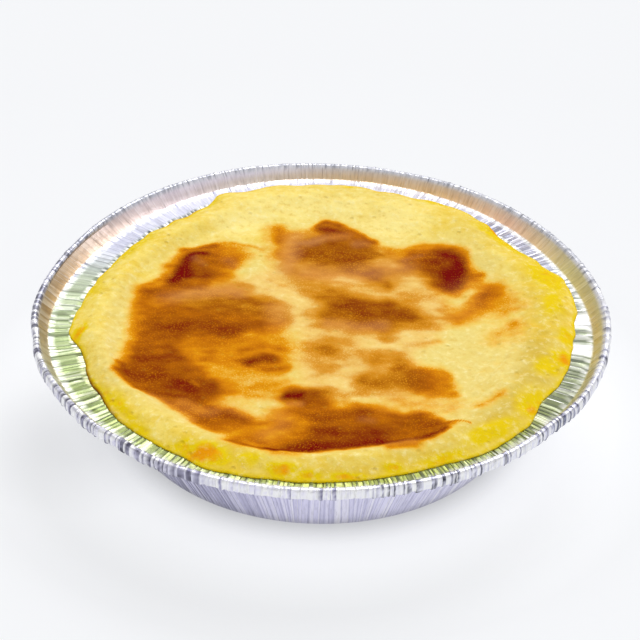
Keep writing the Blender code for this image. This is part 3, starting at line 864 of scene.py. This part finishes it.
def folded_tin(material):
    profile = tin_profile()
    azimuths, sways, heights, shades, crimps = fold_columns()
    mesh = turned_sheet(profile, len(azimuths))
    points = positions(mesh)
    place = np.empty(len(points))
    mesh.attributes["place"].data.foreach_get("value", place)
    ring = np.rint(place).astype(int)
    evenly = polar(points)[1] % 360 / 360
    column = np.rint(evenly * len(azimuths)).astype(int) % len(azimuths)
    out, level, share, zone, station = (np.array(values)[ring] for values in zip(*profile))
    outward, upward = profile_normals(profile)[ring].T
    turn = azimuths[column] + at_station(sways, column, station)
    shade = np.where(np.isin(zone, ("bead", "skirt", "hinge", "corner")), crimps[column],
                     at_station(shades, column, station))
    # Painted shade broken into flecks on the bead and its outer side.
    painted_shade_flecks = clouds(points * (1, 1, 0.8), 1.1 * MM, 12.0)
    shade = np.where(np.isin(zone, ("bead", "skirt")), shade + 0.9 * painted_shade_flecks, shade)
    azimuth = np.degrees(turn)
    circle = np.column_stack((np.cos(turn), np.sin(turn), level * 12))
    crumple = clouds(circle * 30, 1.0, 4.0) * 0.05 * MM + clouds(circle * 9, 1.0, 5.0) * 0.1 * MM
    calm = np.where(np.isin(zone, ("lip", "flange", "hinge")),
                    np.interp(azimuth, *zip(*CALM_FOIL), period=360), 1)
    offset = share * (at_station(heights, column, station) * calm + crumple)
    high = level > FLANGE_LEVEL - 2 * MM
    warp = np.where(high, 0.25 * MM, 0) * clouds(circle * 3, 1.0, 8.0)
    radius = out + offset * outward + np.minimum(warp, 0)
    rim = (zone == "bead") | (zone == "skirt")
    radius += np.where(rim, line_round(azimuth, 0.0, RIM_BULGES), 0)
    outer = np.where(zone == "lip", (station - 0.3) / 0.7, 0)
    outer = np.where(np.isin(zone, ("flange", "hinge", "corner")), 2 - station, outer)
    radius += outer * line_round(azimuth, 0.0, FLANGE_BULGES)
    short = np.minimum(edge_at(azimuth) + FOOD_CREVICE - FLANGE_INNER, 0)
    across = (FLANGE_OUTER - out) / (FLANGE_OUTER - FLANGE_INNER)
    inward = np.where(zone == "corner", 1, np.clip(across, 0, 1) * (zone == "flange"))
    down = smooth((level - 20 * MM) / (FLANGE_LEVEL - 20 * MM))
    radius += short * np.where(zone == "wall", down, inward)
    height = level + offset * upward
    hem = (zone == "skirt") & (level < TIN_HEIGHT - BEAD_DEPTH + 1.0 * MM)
    height += np.where(hem, HEM_RAGGED * shade, 0)
    height = np.where(share > 0, np.maximum(height, 0), level)
    set_positions(mesh, np.column_stack((radius * np.cos(turn), radius * np.sin(turn), height)))
    # The foil's colour with its painted reflections, highlights and shade.
    store_colour(mesh, "tint_and_painted_light", foil_colour_and_painted_light(azimuth, level, zone, shade))
    mesh.attributes.remove(mesh.attributes["place"])
    tin = finish_piece("folded_foil_tin", mesh, material, "foil_tin")
    mesh.set_sharp_from_angle(angle=SHARP_ANGLE)
    sheet = tin.modifiers.new("Sheet", "SOLIDIFY")
    sheet.thickness = SHEET
    sheet.offset = -1.0
    return tin


# ---------------------------------------------------------------- finishes

# Foil at each azimuth where it changes: dark, middle and bright colour of its folds. These are
# painted reflections, highlights and shade: the pie's yellow reflected in the flange and the lip,
# the floor's lavender in the wall and the rim, dark painted shade in recesses and crevices, white
# painted highlights on creases, and a rim painted duller on its far side.
WHITE = (255, 255, 255)
FLANGE_COLOURS = (
    (0, (110, 120, 98), (176, 184, 160), WHITE),
    (12, (110, 116, 110), (184, 190, 190), WHITE),
    (28, (130, 132, 150), (184, 184, 202), (240, 240, 250)),
    (44, (124, 126, 144), (174, 174, 192), (232, 232, 244)),
    (60, (184, 184, 204), (222, 222, 238), (250, 250, 255)),
    (105, (192, 192, 214), (222, 222, 240), (250, 250, 255)),
    (150, (162, 164, 186), (200, 202, 222), (238, 238, 248)),
    (164, (140, 152, 128), (182, 192, 170), (236, 238, 232)),
    (180, (118, 134, 94), (196, 208, 166), (240, 244, 234)),
    (191, (104, 120, 74), (178, 194, 136), (234, 238, 220)),
    (208, (84, 98, 48), (146, 162, 98), (212, 216, 186)),
    (222, (74, 82, 46), (156, 172, 102), (216, 222, 186)),
    (245, (74, 82, 46), (190, 200, 126), (234, 238, 184)),
    (270, (78, 86, 44), (190, 200, 96), (232, 240, 160)),
    (318, (76, 82, 50), (160, 170, 92), (235, 240, 190)),
    (330, (84, 92, 70), (146, 156, 110), (255, 255, 250)),
    (345, (92, 100, 82), (152, 160, 128), WHITE),
)
# Painted dark dashes of shade at the foot of the lip.
HINGE_COLOURS = (
    (0, (120, 130, 105), (185, 190, 165), WHITE),
    (60, (180, 180, 200), (240, 240, 250), WHITE),
    (105, (112, 114, 146), (240, 240, 255), WHITE),
    (165, (84, 88, 116), (236, 238, 252), WHITE),
    (180, (120, 135, 105), (210, 220, 190), (255, 255, 250)),
    (330, (96, 106, 82), (170, 178, 135), (255, 255, 250)),
)
# Painted shade in the crevice between the pie and the foil where it turns down.
CORNER_COLOURS = (
    (0, (70, 75, 55), (150, 155, 110), (210, 215, 190)),
    (50, (160, 160, 165), (228, 228, 236), WHITE),
    (116, (150, 152, 160), (228, 228, 238), WHITE),
    (126, (50, 54, 46), (160, 166, 160), WHITE),
    (160, (50, 58, 44), (150, 158, 140), WHITE),
    (172, (90, 105, 70), (190, 202, 150), (250, 252, 245)),
    (230, (76, 84, 40), (184, 194, 100), (232, 238, 165)),
    (320, (72, 80, 40), (180, 190, 100), (235, 240, 165)),
)
LIP_HIGH_COLOURS = (
    (0, (176, 164, 104), (218, 206, 146), (244, 238, 206)),
    (20, (180, 170, 124), (220, 210, 160), (240, 234, 206)),
    (42, (192, 172, 162), (226, 206, 190), (244, 232, 222)),
    (62, (194, 172, 152), (226, 204, 180), (246, 232, 218)),
    (85, (184, 176, 176), (214, 206, 204), (240, 236, 240)),
    (107, (186, 180, 202), (224, 218, 236), (246, 242, 254)),
    (125, (182, 172, 188), (222, 212, 226), (244, 236, 248)),
    (140, (170, 156, 162), (212, 196, 200), (236, 226, 232)),
    (160, (156, 138, 122), (194, 174, 154), (230, 222, 214)),
    (178, (148, 122, 84), (192, 168, 124), (236, 230, 216)),
    (205, (146, 140, 124), (202, 196, 182), (240, 240, 236)),
    (330, (156, 150, 128), (212, 206, 180), (248, 248, 240)),
)
LIP_LOW_COLOURS = (
    (0, (182, 158, 84), (226, 200, 126), (248, 232, 188)),
    (20, (178, 164, 104), (222, 206, 136), (244, 232, 184)),
    (42, (204, 158, 128), (240, 194, 160), (250, 222, 198)),
    (62, (208, 164, 110), (242, 200, 144), (250, 226, 190)),
    (85, (204, 174, 128), (232, 200, 156), (246, 232, 208)),
    (107, (200, 184, 172), (228, 214, 204), (246, 240, 240)),
    (125, (190, 172, 176), (224, 208, 212), (242, 232, 240)),
    (140, (180, 158, 152), (214, 192, 184), (234, 222, 220)),
    (160, (162, 134, 106), (198, 168, 136), (230, 222, 212)),
    (178, (156, 120, 70), (196, 162, 104), (234, 226, 208)),
    (205, (146, 140, 106), (198, 194, 160), (240, 240, 226)),
    (330, (152, 146, 92), (210, 204, 142), (248, 244, 214)),
)
BEAD_COLOURS = (
    (0, (120, 120, 140), (216, 216, 232), WHITE),
    (22, (164, 166, 176), (204, 206, 216), (236, 236, 244)),
    (140, (158, 160, 172), (192, 194, 206), (222, 222, 232)),
    (168, (80, 80, 96), (164, 164, 182), (232, 232, 244)),
    (196, (60, 58, 80), (188, 188, 206), WHITE),
    (236, (66, 64, 88), (206, 204, 226), WHITE),
    (252, (140, 138, 176), (228, 226, 248), WHITE),
    (275, (120, 118, 152), (226, 226, 246), WHITE),
    (284, (60, 62, 80), (216, 216, 238), WHITE),
    (330, (90, 90, 114), (218, 218, 240), WHITE),
)
SKIRT_COLOURS = (
    (0, (70, 70, 92), (216, 216, 236), WHITE),
    (30, (130, 130, 146), (190, 190, 205), (240, 240, 250)),
    (140, (126, 126, 142), (176, 176, 192), (230, 230, 240)),
    (175, (56, 56, 72), (150, 150, 168), (235, 235, 250)),
    (200, (58, 56, 78), (196, 194, 216), WHITE),
    (228, (56, 54, 78), (214, 212, 238), WHITE),
    (236, (52, 50, 70), (196, 194, 220), (250, 250, 255)),
    (241, (58, 56, 74), (144, 142, 164), (225, 223, 240)),
    (247, (70, 68, 88), (170, 168, 194), (238, 238, 255)),
    (252, (140, 138, 180), (236, 234, 255), WHITE),
    (275, (116, 114, 150), (240, 238, 255), WHITE),
    (283, (44, 46, 60), (234, 234, 250), WHITE),
    (318, (50, 54, 76), (226, 226, 248), WHITE),
    (323, (36, 42, 72), (150, 156, 186), WHITE),
    (329, (50, 54, 76), (226, 226, 248), WHITE),
)
# Wall: the floor's lavender as a painted reflection, with painted shade on the front left.
WALL_COLOURS = (
    (0, (186, 184, 214), (226, 224, 248), (255, 253, 255)),
    (200, (120, 118, 145), (180, 178, 208), (226, 224, 242)),
    (235, (104, 102, 132), (182, 180, 212), (234, 232, 248)),
    (262, (176, 174, 208), (228, 225, 252), (252, 250, 255)),
    (300, (190, 188, 218), (230, 228, 252), (255, 253, 255)),
)
# Folds of the flange painted white, as a bright highlight: azimuth and half-width.
PAINTED_WHITE_FOLDS = ((-9.8, 1.9), (1.3, 2.4), (-37.5, 0.9), (203.5, 0.35), (211, 0.4),
                (218.5, 0.35), (225, 0.3), (233, 0.35))


def colours_round(azimuth, rows, shade):
    """Colour at each azimuth and shade, from the nearest rows of a table."""
    stations = [row[0] for row in rows]
    dark, middle, bright = (
        np.column_stack([np.interp(azimuth, stations, channel, period=360)
                         for channel in zip(*(srgb(*row[number])[:3] for row in rows))])
        for number in (1, 2, 3))
    up = np.clip(shade, 0, 1)[:, None]
    down = np.clip(-shade, 0, 1)[:, None]
    return middle + (bright - middle) * up + (dark - middle) * down


def foil_colour_and_painted_light(azimuth, height, zone, shade):
    """Colour of the foil at each point of the folded sheet, with painted reflections, highlights
    and shade.
    """
    tint_and_painted_light = colours_round(azimuth, WALL_COLOURS, shade * 0.8)
    # Painted shade: the wall darkens towards its foot.
    foot = smooth(1 - height / (9 * MM))[:, None]
    tint_and_painted_light = tint_and_painted_light * (1 - 0.35 * foot * (zone == "wall")[:, None])
    rise = np.clip((height - FLANGE_LEVEL) / (TIN_HEIGHT - FLANGE_LEVEL), 0, 1)[:, None]
    soft = shade * (0.35 + 0.3 * np.exp(-(around(azimuth, 176) / 16) ** 2))
    lip = colours_round(azimuth, LIP_LOW_COLOURS, soft)
    lip += (colours_round(azimuth, LIP_HIGH_COLOURS, soft) - lip) * smooth(rise * 1.4 - 0.2)
    # Painted white highlight on a few folds of the flange.
    white = np.zeros(len(azimuth))
    for centre, half_width in PAINTED_WHITE_FOLDS:
        gap = np.abs(around(azimuth, centre)) / half_width
        white = np.maximum(white, smooth(1.6 - gap))
    lit = shade + (1 - shade) * white
    back = np.exp(-(around(azimuth, 110) / 60) ** 4)
    tint_and_painted_light = np.where((zone == "lip")[:, None], lip, tint_and_painted_light)
    for name, rows, tone in (("flange", FLANGE_COLOURS, lit * (1 - 0.45 * back)),
                             ("hinge", HINGE_COLOURS, lit), ("corner", CORNER_COLOURS, lit),
                             ("bead", BEAD_COLOURS, shade),
                             ("skirt", SKIRT_COLOURS, shade + 0.12)):
        colours = colours_round(azimuth, rows, tone)
        tint_and_painted_light = np.where((zone == name)[:, None], colours, tint_and_painted_light)
    return tint_and_painted_light


class Nodes:
    """A node tree, and short calls that add and link its nodes."""

    def __init__(self, tree):
        self.tree = tree

    def add(self, kind, inputs, **settings):
        node = self.tree.nodes.new("ShaderNode" + kind)
        for name, value in settings.items():
            setattr(node, name, value)
        for name, value in inputs.items():
            self.give(node.inputs[name], value)
        return node

    def give(self, socket, value):
        """Link a socket or set it. Colours are display values from 0 to 255."""
        if isinstance(value, bpy.types.NodeSocket):
            self.tree.links.new(value, socket)
        else:
            socket.default_value = srgb(*value) if socket.type == "RGBA" else value

    def maths(self, operation, *values):
        return self.add("Math", dict(enumerate(values)), operation=operation).outputs[0]

    def times(self, first, second):
        return self.maths("MULTIPLY", first, second)


class Finish(Nodes):
    """A material."""

    def __init__(self, name):
        self.material = bpy.data.materials.new(name)
        self.material.use_nodes = True
        super().__init__(self.material.node_tree)

    def set(self, **values):
        inputs = self.tree.nodes["Principled BSDF"].inputs
        for name, value in values.items():
            self.give(inputs[name.replace("_", " ")], value)

    def place(self):
        return self.add("TexCoord", {}).outputs["Object"]

    def attribute(self, name, kind="Fac"):
        return self.add("Attribute", {}, attribute_name=name).outputs[kind]

    def reach(self, centre=(0, 0, 0)):
        """Distance of each point from a centre."""
        inputs = {0: self.place(), 1: centre}
        return self.add("VectorMath", inputs, operation="DISTANCE").outputs["Value"]

    def ramp(self, source, stops):
        node = self.add("ValToRGB", {"Fac": source})
        points = node.color_ramp.elements
        while len(points) < len(stops):
            points.new(0.5)
        for point, (position, colour) in zip(points, stops):
            point.position = position
            point.color = srgb(*colour) if isinstance(colour, tuple) else (colour,) * 3 + (1,)
        return node.outputs["Color"]

    def mix(self, share, first, second, kind="MIX"):
        inputs = {0: share, 6: first, 7: second}
        return self.add("Mix", inputs, data_type="RGBA", blend_type=kind).outputs[2]

    def noise(self, size, detail=3.0, rough=0.5, spots=None):
        inputs = {"Vector": spots or self.place(), "Scale": 1 / size, "Detail": detail,
                  "Roughness": rough}
        return self.add("TexNoise", inputs).outputs["Fac"]

    def cells(self, size):
        return self.add("TexVoronoi", {"Vector": self.place(), "Scale": 1 / size}).outputs

    def bump(self, height, distance, strength, normal=None):
        inputs = {"Height": height, "Distance": distance, "Strength": strength}
        if normal is not None:
            inputs["Normal"] = normal
        return self.add("Bump", inputs).outputs["Normal"]


def baked_cheese():
    """Pale set cheese custard with a browned, finely blistered skin."""
    f = Finish("baked_cheese")
    browning = f.attribute("browning")
    deep = f.attribute("deep")
    tan = f.attribute("tan")
    mottle = f.noise(7 * MM, 4)
    crumb = f.noise(3.0 * MM, 5, 0.68)
    ring = f.mix(mottle, (238, 206, 78), (249, 230, 134))
    patches = f.ramp(f.noise(10 * MM, 5, 0.62), ((0.46, 0), (0.64, 1)))
    ring = f.mix(f.times(patches, 0.65), ring, (236, 198, 46))
    # The crumb, which also drives the bump, is painted paler on its high bumps as a highlight and
    # darker in its low hollows as shade.
    pale = f.times(f.ramp(crumb, ((0.52, 0), (0.72, 1))), f.ramp(deep, ((0.2, 0.6), (0.6, 0.2))))
    dark_crumb = f.ramp(crumb, ((0.30, 0.5), (0.46, 0)))
    # Painted light on the back of the ring, painted shade on its right and front.
    ring = f.mix(f.attribute("painted_light"), ring, (255, 237, 154))
    ring = f.mix(f.attribute("painted_shade"), ring, (228, 222, 216), "MULTIPLY")
    ring = f.mix(f.ramp(deep, ((0, 0), (0.42, 1))), ring, (234, 203, 14))
    ring = f.mix(f.ramp(deep, ((0.56, 0), (0.95, 1))), ring, (238, 156, 6))
    dish = f.mix(mottle, (230, 202, 104), (243, 224, 142))
    tan_skin = f.mix(mottle, (238, 198, 110), (246, 218, 136))
    base = f.mix(f.attribute("skin"), ring, f.mix(tan, dish, tan_skin))
    base = f.mix(pale, base, (254, 243, 182))
    base = f.mix(dark_crumb, base, (224, 184, 62))
    # Tiny bubbles on the browned skin: a real bump, with painted glints as lighter golden dots.
    dots = f.ramp(f.cells(0.85 * MM)["Distance"], ((0, 1), (0.5, 0)))
    bubbles_and_glints = f.times(dots, browning)
    glint_strength = f.ramp(f.noise(20 * MM, 2), ((0.40, 0.24), (0.62, 0.50)))
    stir = f.times(f.maths("SUBTRACT", f.noise(2.2 * MM, 4, 0.6), 0.5), 0.14)
    level = f.maths("ADD", f.times(browning, 1.08), stir)
    level = f.maths("SUBTRACT", level, f.times(bubbles_and_glints, glint_strength))
    inner_scorch = f.ramp(level, (
        (0, (240, 202, 116)), (0.15, (234, 188, 96)), (0.30, (222, 158, 58)),
        (0.45, (208, 136, 22)), (0.60, (184, 111, 6)), (0.72, (162, 88, 0)),
        (0.86, (139, 60, 0)), (1, (118, 6, 0))))
    outer_scorch = f.ramp(level, (
        (0, (242, 206, 84)), (0.12, (240, 188, 44)), (0.24, (232, 162, 12)),
        (0.40, (212, 130, 4)), (0.56, (186, 104, 0)), (0.70, (162, 85, 0)),
        (0.86, (138, 56, 0)), (1, (118, 4, 0))))
    scorch = f.mix(tan, outer_scorch, inner_scorch)
    colour = f.mix(f.ramp(level, ((0.02, 0), (0.30, 1))), base, scorch)
    # Painted sheen: a pale pinkish highlight on the browned skin.
    colour = f.mix(f.times(f.attribute("painted_sheen"), 0.55), colour, (224, 158, 104))
    colour = f.mix(f.attribute("burnt"), colour, (140, 84, 14))
    # Pores: small dents in the bump, with painted shade, a darker yellow, in them.
    pores = f.cells(4.2 * MM)
    pits = f.ramp(pores["Distance"], ((0.06, 1), (0.26, 0)))
    chosen = f.ramp(pores["Color"], ((0.58, 0), (0.66, 1)))
    pits = f.times(f.times(pits, chosen), f.maths("SUBTRACT", 1, browning))
    colour = f.mix(f.times(pits, 0.35), colour, (214, 172, 52))
    normal = f.bump(crumb, 0.9 * MM, 0.5)
    small = f.maths("SUBTRACT", bubbles_and_glints, f.times(pits, 3))
    normal = f.bump(small, 0.25 * MM, 0.5, normal)
    f.set(Base_Color=colour, Roughness=0.5, Normal=normal, Subsurface_Weight=0.04,
          Subsurface_Radius=(1.0, 0.55, 0.2), Subsurface_Scale=1.0 * MM,
          Specular_IOR_Level=0.015)
    return f.material


def foil():
    """Thin aluminium with fine pressed lines that run down the folds, coloured as above."""
    f = Finish("foil")
    spot = f.add("SeparateXYZ", {"Vector": f.place()}).outputs
    # The lines lie close together round the tin and run long down it and out from it.
    turn = f.times(f.maths("ARCTAN2", spot["Y"], spot["X"]), 0.11)
    parts = {"X": turn, "Y": f.times(spot["Z"], 0.12), "Z": f.times(f.reach(), 0.12)}
    lines = f.noise(0.9 * MM, 3.0, 0.6, f.add("CombineXYZ", parts).outputs[0])
    # Painted shade where the pressed lines run low, and a painted white highlight where they run
    # high.
    shadow = f.ramp(lines, ((0.32, 0.82), (0.50, 1)))
    colour = f.mix(1.0, f.attribute("tint_and_painted_light", "Color"), shadow, "MULTIPLY")
    colour = f.mix(f.ramp(lines, ((0.60, 0), (0.74, 0.35))), colour, (250, 249, 255))
    normal = f.bump(f.noise(2.4 * MM, 3, 0.55), 0.5 * MM, 0.20)
    normal = f.bump(lines, 0.15 * MM, 0.35, normal)
    rough = f.ramp(f.noise(6 * MM, 2), ((0.3, 0.28), (0.7, 0.42)))
    f.set(Base_Color=colour, Metallic=0.55, Roughness=rough, Normal=normal)
    return f.material


def floor_finish():
    """Pale floor that glows a little, most of all round the tin, so that shadows stay light.

    It glows less on the left: a painted soft shadow of the tin.
    """
    f = Finish("pale_floor")
    glow = f.ramp(f.reach(), ((0.076, 0.46), (0.080, 0.56), (0.085, 0.70), (0.090, 0.79),
                              (0.100, 0.81), (0.110, 0.76), (0.126, 0.67), (0.145, 0.60),
                              (0.30, 0.58)))
    # Painted soft shadow on the left of the tin.
    shaded = f.ramp(f.reach((-0.095, -0.030, 0.0)), ((0.010, 0.83), (0.046, 1.0)))
    f.set(Base_Color=(160, 161, 163), Roughness=0.9, Specular_IOR_Level=0.1,
          Emission_Color=(246, 247, 249), Emission_Strength=f.times(glow, shaded))
    return f.material


# ---------------------------------------------------------------- floor, light, camera

def floor():
    bm = bmesh.new()
    bmesh.ops.create_grid(bm, x_segments=2, y_segments=2, size=6.0)
    mesh = mesh_from(bm, "floor")
    mesh.materials.append(floor_finish())
    ground = bpy.data.objects.new("floor", mesh)
    bpy.context.scene.collection.objects.link(ground)


def direction(azimuth, elevation):
    turn = math.radians(azimuth)
    lift = math.radians(elevation)
    return Vector((math.cos(turn) * math.cos(lift), math.sin(turn) * math.cos(lift),
                   math.sin(lift)))


class Room(Nodes):
    """World light, as a sum of soft bright regions."""

    def __init__(self):
        world = bpy.data.worlds.new("studio")
        bpy.context.scene.world = world
        world.use_nodes = True
        super().__init__(world.node_tree)
        self.look = self.add("TexCoord", {}).outputs["Generated"]

    def toward(self, aim, low, high):
        """0 to 1 as the look turns towards an aim."""
        dot = self.add("VectorMath", {0: self.look, 1: aim}, operation="DOT_PRODUCT")
        inputs = {"Value": dot.outputs["Value"], "From Min": low, "From Max": high}
        return self.add("MapRange", inputs, interpolation_type="SMOOTHSTEP").outputs["Result"]


def studio():
    """Soft white room: one broad light behind on the right, dimmer low walls behind."""
    room = Room()
    light = room.maths("MULTIPLY_ADD", room.toward((0, 0, 1), 0.45, 0.98), 0.42, 0.50)
    key = room.toward(direction(72, 48), 0.84, 0.96)
    light = room.maths("MULTIPLY_ADD", key, 0.75, light)
    behind = room.toward((0, 1, 0), 0.0, 0.9)
    light = room.maths("MULTIPLY_ADD", behind, 0.20, light)
    low = room.maths("SUBTRACT", 1.0, room.toward((0, 0, 1), 0.05, 0.42))
    dim = room.times(room.times(low, behind), 0.6)
    light = room.times(light, room.maths("SUBTRACT", 1.0, dim))
    back = room.tree.nodes["Background"].inputs
    room.give(back["Color"], WHITE)
    room.give(back["Strength"], light)
    sun = bpy.data.lights.new("key", "SUN")
    sun.energy = 0.9
    sun.angle = math.radians(30)  # wide, so that its shadows are soft
    lamp = bpy.data.objects.new("key", sun)
    lamp.rotation_euler = direction(70, 57).to_track_quat("Z", "Y").to_euler()
    bpy.context.scene.collection.objects.link(lamp)


CAMERA_ELEVATION = 34.14
CAMERA_ROLL = 1.043
CAMERA_DISTANCE = 0.8727
AIM_LEVEL = 46.7 * MM


def camera():
    """Long lens, looking down on the pie from the front, a touch off level."""
    lens = bpy.data.cameras.new("camera")
    lens.sensor_width = 36.0
    lens.lens = 123.75
    lens.shift_x = -0.0009
    lens.shift_y = -0.0180
    lens.clip_start = 0.05
    toward = direction(-90, CAMERA_ELEVATION)
    roll = math.radians(CAMERA_ROLL)
    right = Vector((1, 0, 0))
    up = toward.cross(right)
    tilted_right = right * math.cos(roll) + up * math.sin(roll)
    tilted_up = up * math.cos(roll) - right * math.sin(roll)
    view = bpy.data.objects.new("camera", lens)
    turned = Matrix((tilted_right, tilted_up, toward)).transposed().to_4x4()
    spot = Vector((0, 0, AIM_LEVEL)) + toward * CAMERA_DISTANCE
    view.matrix_world = Matrix.Translation(spot) @ turned
    bpy.context.scene.collection.objects.link(view)
    bpy.context.scene.camera = view


def main():
    view = bpy.context.scene.view_settings
    view.view_transform = "Standard"
    view.look = "None"
    camera()
    studio()
    floor()
    folded_tin(foil())
    baked_pie(baked_cheese())


main()
